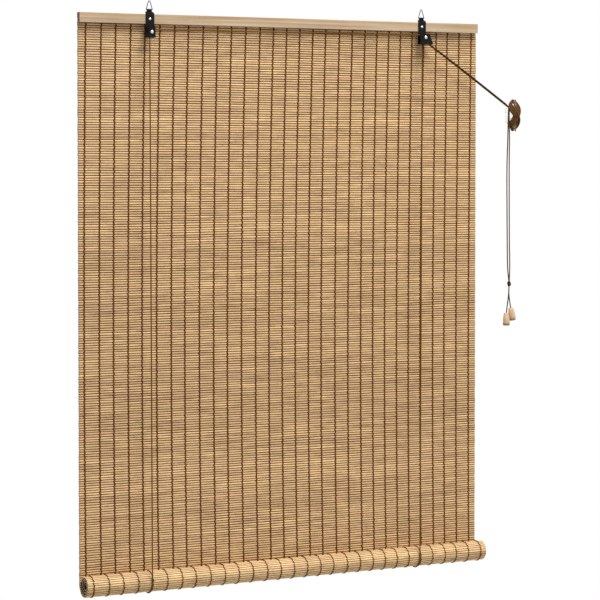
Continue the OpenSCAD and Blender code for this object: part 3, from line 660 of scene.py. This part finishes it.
class SlatBuilder:
    """Collects slats as one mesh, with tone, painted gap shade, knuckle and cut-end values on each point;
    the cut-end values also paint shade on a slat's left end.
    """

    def __init__(self):
        self.verts, self.faces = [], []
        self.tone, self.seed, self.groove, self.knuckle, self.end = [], [], [], [], []

    def ring(self, x, place, tone, seed, knuckle, end, gap_shade_share):
        for u, v, groove in SECTION:
            y, z = place(x, u, v)
            self.verts.append((x, y, z))
            self.tone.append(tone)
            self.seed.append(seed)
            self.groove.append(gap_shade_share * groove)
            self.knuckle.append(knuckle)
            self.end.append(end)

    def slat(self, place, tone, left, right, cap_shade_tone=1.0, painted_shade=1.0, gap_shade_share=1.0):
        """Adds a slat from left to right; place gives depth and height at x for a section point.

        The last three arguments give the tone of the cut ends, below one as painted shade; how much painted
        shade the cut ends and the left end take; and how dark the painted shade in the grooves is.
        """
        n = len(SECTION)
        seed = rng.random()
        rows = [(left + (right - left) * k / SPAN_STEPS, 0.0) for k in range(SPAN_STEPS + 1)]
        at = left + rng.uniform(KNUCKLE_MARGIN, FIRST_KNUCKLE)
        while at < right - KNUCKLE_MARGIN:
            rows += [(at - KNUCKLE_HALF, 0.0), (at, 1.0), (at + KNUCKLE_HALF, 0.0)]
            at += rng.uniform(*KNUCKLE_GAP)
        # A ring a little in from the left end, where the painted shade on the left end fades out
        rows.append((left + LEFT_SHADE_LENGTH, 0.0))
        rows.sort()
        base = len(self.verts)
        for x, knuckle in rows:
            self.ring(x, place, tone, seed, knuckle, LEFT_END_SHADE * painted_shade if x == left else 0.0, gap_shade_share)
        for i in range(len(rows) - 1):
            for k in range(n):
                m = (k + 1) % n
                a = base + i * n
                self.faces.append((a + k, a + n + k, a + n + m, a + m))
        for x, turned in ((left, False), (right, True)):
            cap = len(self.verts)
            self.ring(x, place, cap_shade_tone, seed, 0.0, painted_shade, 0.0)
            loop = [cap + k for k in range(n)]
            self.faces.append(tuple(reversed(loop)) if turned else tuple(loop))

    def build(self, name, material, body):
        values = {"slat_tone": self.tone, "slat_seed": self.seed, "slat_groove": self.groove,
                  "slat_knuckle": self.knuckle, "slat_end": self.end}
        return add_object(name, self.verts, self.faces, material, body, values)


def slat_tone():
    return rng.uniform(*SLAT_TONES)


def slat_ends():
    left = -MAT_W / 2 + rng.uniform(0.0, END_STRAY)
    right = MAT_W / 2 + LONG_END - rng.uniform(0.0, END_STRAY)
    return left, right


def flat_place(z_mid):
    """Place of a hanging slat's section: a little bowed along with its neighbours and set in or out."""
    inset = rng.uniform(0.0, SET_IN)
    thick = SLAT_T - inset - rng.uniform(0.0, THINNER)
    half = SLAT_PITCH / 2 * rng.uniform(*FLAT_HEIGHT)
    lift = rng.uniform(-OFF_PLACE, OFF_PLACE)
    tilt = rng.uniform(-TILT, TILT)
    sway = sum(far * math.sin(z_mid / over + start) for far, over, start in (SLOW_SWAY, QUICK_SWAY))

    def place(x, u, v):
        wave = sway * math.sin(BOW_HALVES * math.pi * x / MAT_W + z_mid / BOW_WANDER)
        y = MAT_FRONT + inset + v * thick + max(0.0, tilt * u) * half
        return y, z_mid + lift + wave + u * half
    return place


def flat_mat(name, rows, foot):
    builder = SlatBuilder()
    for i in range(rows):
        left, right = slat_ends()
        builder.slat(flat_place(foot + (i + 0.5) * SLAT_PITCH), slat_tone(), left, right)
    return builder.build(name, BAMBOO, "blind_frame")


# Share of a turn over which the roll's spiral gathers its pitch
LOOSE_TURN = 0.6


def turn_radius(a):
    """Outer radius of the roll at an angle from the mat: the first turn is loose, the inner ones even."""
    u = a / (2 * math.pi)
    return ROLL_R - TURN_PITCH * u * u / (u + LOOSE_TURN)


# Length of mat wound up at evenly spaced angles from its start
ROLL_STEP = 0.01
ROLL_TURNS = 3.8
WOUND = [0.0]
while len(WOUND) * ROLL_STEP < 2 * math.pi * ROLL_TURNS:
    WOUND.append(WOUND[-1] + turn_radius((len(WOUND) - 0.5) * ROLL_STEP) * ROLL_STEP)


def roll_point(s, inset):
    """Depth and height at a distance s along the roll's outer face, inset from it."""
    a = ROLL_STEP * min(bisect.bisect(WOUND, s), len(WOUND) - 1)
    r = turn_radius(a) - inset
    return ROLL_Y + r * math.cos(a), ROLL_Z - r * math.sin(a)


def rolled_place(s_mid):
    """Place of a slat's section at a distance along the roll."""
    inset = rng.uniform(0.0, ROLL_SET_IN)
    thick = SLAT_T - inset - rng.uniform(0.0, THINNER)
    half = SLAT_PITCH / 2 * rng.uniform(*ROLLED_HEIGHT)

    def place(x, u, v):
        return roll_point(s_mid + u * half, inset + v * thick)
    return place


# How far the roll's outer and innermost turns have slid to the right, and how far its right end stands out
ROLL_SHIFT = 0.4
ROLL_DRIFT = 4.0
ROLL_SPREAD = 4.6
# Rows of the outer turn, how bright that turn is, and the tone of the turns inside it, darkened as painted
# shade
OUTER_ROWS = int(2 * math.pi * (ROLL_R - TURN_PITCH / 2) / SLAT_PITCH)
OUTER_TONE = 1.03
INNER_SHADE_TONE = 0.12
# Tone of the roll's cut ends, darkened as painted shade, how much painted shade its ends take, and how dark
# the painted shade in its grooves is
ROLL_CAP_SHADE_TONE = 0.6
ROLL_END_SHADE = 0.1
ROLL_GAP_SHADE = 0.72


def rolled_mat():
    builder = SlatBuilder()
    rows = int(WOUND[-1] / SLAT_PITCH)
    for i in range(rows):
        left, right = slat_ends()
        drift = ROLL_SHIFT + (ROLL_DRIFT - ROLL_SHIFT) * i / rows
        # The turns inside the outer one are darkened as painted shade
        tone = slat_tone() * (OUTER_TONE if i < OUTER_ROWS else INNER_SHADE_TONE)
        builder.slat(rolled_place((i + 0.5) * SLAT_PITCH), tone, left + drift,
                     right + drift + ROLL_SPREAD - LONG_END, ROLL_CAP_SHADE_TONE, ROLL_END_SHADE, ROLL_GAP_SHADE)
    return builder.build("roll_slats", BAMBOO_BACK, "roll")


# How far each warp thread strays from its place
WARP_STRAY = (1.8, 1.9, 0.5, 0.1, -1.3, -1.2, -0.8, -2.2, -1.3, -0.8, -1.1, -0.3, 0.8, 0.6, 0.3,
              0.0, 0.0, -0.4, 1.6, 2.1, 2.4, 1.5, 0.5, -0.3, -1.2, -1.7, -0.2, -1.4, -0.7, 0.9)
# The threads bow: height at which they stand furthest left and how far left, distance from that height at
# which they have leant to the right, and by how much at the mat's sides and how much more in its middle
LEAN_FOOT = -613.0
LEAN_BACK = 2.8
LEAN_RISE = 477.0
LEAN_SIDES = 3.2
LEAN_MIDDLE = 3.5
# Thread: size, share of its width that it is thick, and how far it goes from side to side between slats
THREAD_R = 1.35
ROLL_THREAD_R = 1.6
THREAD_SIDES = 4
THREAD_FLAT = 0.42
THREAD_SWAY = 1.1
SWAY_CHANGE = (0.6, 1.3)
# How far a thread stands out on a slat and sinks in between slats, hanging and on the roll
THREAD_CREST = 0.25
THREAD_GROOVE = 0.4
ROLL_THREAD_CREST = 0.4
ROLL_THREAD_GROOVE = 0.15


def warp_x(i, z):
    share = i / (WARPS - 1)
    bulge = 4 * share * (1 - share)
    even = -MAT_W / 2 + WARP_MARGIN + share * (MAT_W - 2 * WARP_MARGIN)
    lean = ((z - LEAN_FOOT) / LEAN_RISE) ** 2 * (LEAN_SIDES + LEAN_MIDDLE * bulge) - LEAN_BACK
    return even + WARP_BOW * bulge + WARP_STRAY[i] + lean


def thread_sway(i):
    return THREAD_SWAY * rng.uniform(*SWAY_CHANGE) * (1 if i % 2 else -1)


def flat_threads(name, rows, foot, face_y, out):
    """Threads up one face of the flat mat; out is -1 on its front and 1 on its back."""
    verts, faces = [], []
    crest_y, groove_y = face_y + out * THREAD_CREST, face_y - out * THREAD_GROOVE
    for warp in range(WARPS):
        path = []
        for i in range(rows + 1):
            z = foot + i * SLAT_PITCH
            side = thread_sway(i)
            path.append((warp_x(warp, z) + side, groove_y, z))
            if i < rows:
                path.append((warp_x(warp, z), crest_y, z + SLAT_PITCH / 2))
        tube(path, THREAD_R, THREAD_SIDES, verts, faces, flat=THREAD_FLAT)
    return add_object(name, verts, faces, THREAD, "blind_frame")


def roll_threads():
    verts, faces = [], []
    for warp in range(WARPS):
        path = []
        x = warp_x(warp, ROLL_Z) + ROLL_SHIFT + ROLL_SPREAD * warp / (WARPS - 1)
        for i in range(OUTER_ROWS):
            side = thread_sway(i)
            path.append((x + side, *roll_point(i * SLAT_PITCH, ROLL_THREAD_GROOVE)))
            path.append((x, *roll_point((i + 0.5) * SLAT_PITCH, -ROLL_THREAD_CREST)))
        tube(path, ROLL_THREAD_R, THREAD_SIDES, verts, faces, flat=THREAD_FLAT)
    return add_object("roll_warp_threads", verts, faces, THREAD, "roll")


mat_slats = flat_mat("hanging_slats", HANG_SLATS, ROLL_Z)
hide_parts("hanging_mat")
heading = flat_mat("heading_slats", HEAD_SLATS, RAIL_BOTTOM)
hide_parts("mat_heading")
roll_slats = rolled_mat()
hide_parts("rolled_mat")
front_threads = flat_threads("front_warp_threads", HANG_SLATS, ROLL_Z, MAT_FRONT, -1)
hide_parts("hanging_threads")
back_threads = flat_threads("back_warp_threads", HANG_SLATS, ROLL_Z, MAT_BACK, 1)
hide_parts("hanging_threads")
flat_threads("heading_warp_threads", HEAD_SLATS, RAIL_BOTTOM, MAT_BACK, 1)
wound_threads = roll_threads()
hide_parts("roll_threads")

# Each hanging piece gets a mesh of its own
for piece in (mat_slats, front_threads, back_threads):
    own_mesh(piece)


# ---- lift cords ----
CORD_SIDES = 10
CORD_STEPS = 40
LOOP_STEPS = 32
WHEEL_STEPS = 12
LOCK_STEPS = 18
EXIT_STEPS = 8
# Gap between the roll and the cord under it
LOOP_GAP = 0.3
QUARTER = math.pi / 2


def held_cord(name, points, body, *nodes):
    verts, faces = [], []
    tube(points, CORD_R, CORD_SIDES, verts, faces)
    obj = add_object(name, verts, faces, LIFT_CORD, body)
    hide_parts(*nodes)
    return obj


def lock_path(y):
    """Bend off the lock sheave, run down the lock's side wall and bend to the way out."""
    normal = (math.sin(LOCK_SLOPE), math.cos(LOCK_SLOPE))
    run = (math.cos(LOCK_SLOPE), -math.sin(LOCK_SLOPE))
    end = (LOCK[0] + LOCK_R * normal[0] + LOCK_RUN * run[0],
           LOCK[1] + LOCK_R * normal[1] + LOCK_RUN * run[1])
    centre = (end[0] + EXIT_BEND_R * normal[0], end[1] + EXIT_BEND_R * normal[1])
    return arc(centre, EXIT_BEND_R, 3 * QUARTER - LOCK_SLOPE, 3 * QUARTER - EXIT_SLOPE, y, EXIT_STEPS)


ACROSS = Vector((LOCK[0] - GUIDE[0], LOCK[1] - GUIDE[1]))
CROSS_TILT = math.atan2(ACROSS.y, ACROSS.x) + math.asin((LOCK_R - GUIDE_R) / ACROSS.length)
cross_points = arc(GUIDE, GUIDE_R, math.pi, QUARTER + CROSS_TILT, LEFT_CORD_Y, WHEEL_STEPS)
cross_points += arc(LOCK, LOCK_R, QUARTER + CROSS_TILT, QUARTER - LOCK_SLOPE, LEFT_CORD_Y, WHEEL_STEPS)
cross_points += lock_path(LEFT_CORD_Y)
held_cord("cross_lift_cord", cross_points, "blind_frame", "cross_cord")
lock_points = arc(LOCK, LOCK_R, math.pi, QUARTER - LOCK_SLOPE, RIGHT_CORD_Y, LOCK_STEPS)
lock_points += lock_path(RIGHT_CORD_Y)
held_cord("right_lift_cord", lock_points, "blind_frame", "right_lock_cord")


def loop_point(x, turn):
    """Point of the lift cord under the roll, from its back at turn 0 to its front at turn pi."""
    r = turn_radius(turn) + CORD_R + LOOP_GAP
    return Vector((x, ROLL_Y + r * math.cos(turn), ROLL_Z - r * math.sin(turn)))


def straight_cord(side, face, low, high):
    """Lift cord down one face of the mat, with a mesh of its own."""
    points = [low.lerp(high, k / CORD_STEPS) for k in range(CORD_STEPS + 1)]
    obj = held_cord(side + face + "_lift_cord", points, "blind_frame", side + face + "_cord")
    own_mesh(obj)


for side, x, y, wheel, wheel_r in (("left", LEFT_LOOP_X, LEFT_CORD_Y, GUIDE, GUIDE_R),
                                   ("right", RIGHT_LOOP_X, RIGHT_CORD_Y, LOCK, LOCK_R)):
    straight_cord(side, "_front", loop_point(x, math.pi), Vector((wheel[0] - wheel_r, y, wheel[1])))
    low = loop_point(x, 0.0)
    straight_cord(side, "_back", low, Vector((x, low.y, CORD_TOP)))
    bend = [loop_point(x, math.pi * k / LOOP_STEPS) for k in range(LOOP_STEPS + 1)]
    held_cord(side + "_loop_lift_cord", bend, "cord_loops", side + "_roll_loop")


# ---- pull cords ----
# Half turns of the figure of eight at which the cords come onto the cleat and leave it
WINDING_START = 0.3
WINDING_END = 6.08
# Depth of the winding where its strands cross, and of the horns that they go behind
CROSSING_Y = -7.3
HORN_Y = 2.0
# How far the strands swing sideways and bow to the left, how far up and down they reach, and where the
# first one lies
SWING = 6.0
BOW = 2.0
REACH = 21.4
FIRST_ROW = -5.6
# How far each further half turn lies in front, to the right and out, and how far strands part at a crossing
ROW_FRONT = -0.85
ROW_RIGHT = 2.0
ROW_OUT = 1.2
PARTING = 1.1
# Points of the winding for each radian, and length of a free cord's steps
WINDING_POINTS = 7
ROUTE_STEP = 2.5
# Knot: its strand, its middle and how its loops open, its half width, depth and height, and its slant
KNOT_STEPS = 72
KNOT_STRAND_R = 1.15
KNOT_SIDES = 8
KNOT_MIDDLE = 1.25
KNOT_LOOPS = 0.55
KNOT_W = 1.5
KNOT_D = 1.4
KNOT_H = 3.6
KNOT_SLANT = 0.8


def wound_points(cord):
    """Figures of eight round the cleat's horns; each half turn lies further right, out and in front."""
    out = []
    start, end = WINDING_START * math.pi, WINDING_END * math.pi
    steps = int((end - start) * WINDING_POINTS)
    for k in range(steps + 1):
        t = start + (end - start) * k / steps
        row = (t - start) / math.pi + cord
        up, swing = math.cos(t), math.sin(2 * t)
        front = CROSSING_Y + ROW_FRONT * row
        x = CLEAT[0] - SWING * swing - BOW * swing * swing
        x += (ROW_RIGHT * row + FIRST_ROW) * (1 - abs(up) ** 3)
        y = front + (HORN_Y - front) * up * up - PARTING * math.sin(t)
        out.append((x, y, CLEAT[1] + (REACH + ROW_OUT * row) * up))
    return out


def pull_cord(name, cord, material, nodes):
    """Free cord from the lock round the cleat to its pull, with its length in metres."""
    route = PULL_ROUTES[cord] + wound_points(cord) + HANG_ROUTES[cord] + TAIL_ROUTES[cord]
    points = smooth_path(route, ROUTE_STEP)
    curve = bpy.data.curves.new(name, "CURVE")
    curve.dimensions = "3D"
    curve.bevel_depth = CORD_R * MM
    curve.bevel_resolution = 3
    curve.use_fill_caps = True
    spline = curve.splines.new("POLY")
    spline.points.add(len(points) - 1)
    for target, p in zip(spline.points, points):
        target.co = (p.x * MM, p.y * MM, p.z * MM, 1.0)
    curve.materials.append(material)
    obj = bpy.data.objects.new(name, curve)
    bpy.context.scene.collection.objects.link(obj)
    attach(obj, "blind_frame")
    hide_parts(*nodes)
    length = sum((b - a).length for a, b in zip(points, points[1:])) * MM
    return obj, length


def knot():
    """Overhand knot of the two cords, as a closed trefoil of cord."""
    verts, faces = [], []
    path = []
    for k in range(KNOT_STEPS):
        t = 2 * math.pi * k / KNOT_STEPS
        wide = KNOT_MIDDLE + KNOT_LOOPS * math.cos(3 * t)
        path.append((KNOT_AT[0] + KNOT_W * wide * math.cos(2 * t),
                     KNOT_AT[1] + KNOT_D * wide * math.sin(2 * t),
                     KNOT_AT[2] + KNOT_H * math.sin(3 * t) + KNOT_SLANT * math.cos(t)))
    tube(path, KNOT_STRAND_R, KNOT_SIDES, verts, faces, closed=True)
    obj = add_object("cord_knot", verts, faces, CORD, "blind_frame")
    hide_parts("pull_knot")
    return obj


pull_knot = knot()
for index, (side, cord_look) in enumerate((("left", CORD), ("right", FADED_CORD))):
    cord_nodes = ("pull_cords", "cleat_winding", "hanging_cords", "cord_tails")
    cord_piece, cord_length = pull_cord(side + "_pull_cord", index, cord_look, cord_nodes)


# ---- finishes of the built parts ----
FINISHES = {
    "head_rail": RAIL_WOOD, "left_pull": PULL_WOOD, "right_pull": PULL_WOOD, "wall_cleat": PALE_PLASTIC,
    "left_hanger": BLACK_STEEL, "right_hanger": BLACK_STEEL, "left_guide_housing": BLACK_STEEL,
    "right_lock_housing": BLACK_STEEL, "left_ring": WIRE_STEEL, "right_ring": WIRE_STEEL,
    "hanger_screws": BRIGHT_STEEL, "sheave_rivets": BRIGHT_STEEL, "guide_sheave": BRIGHT_STEEL,
    "lock_sheave": BRIGHT_STEEL, "grip_pin": BLACK_STEEL, "grip_roller": BRIGHT_STEEL,
    "heading_staples": BRIGHT_STEEL, "cord_staples": BRIGHT_STEEL,
}
for node_name, finish in FINISHES.items():
    part = NODE[node_name]
    part.data.materials.clear()
    part.data.materials.append(finish)
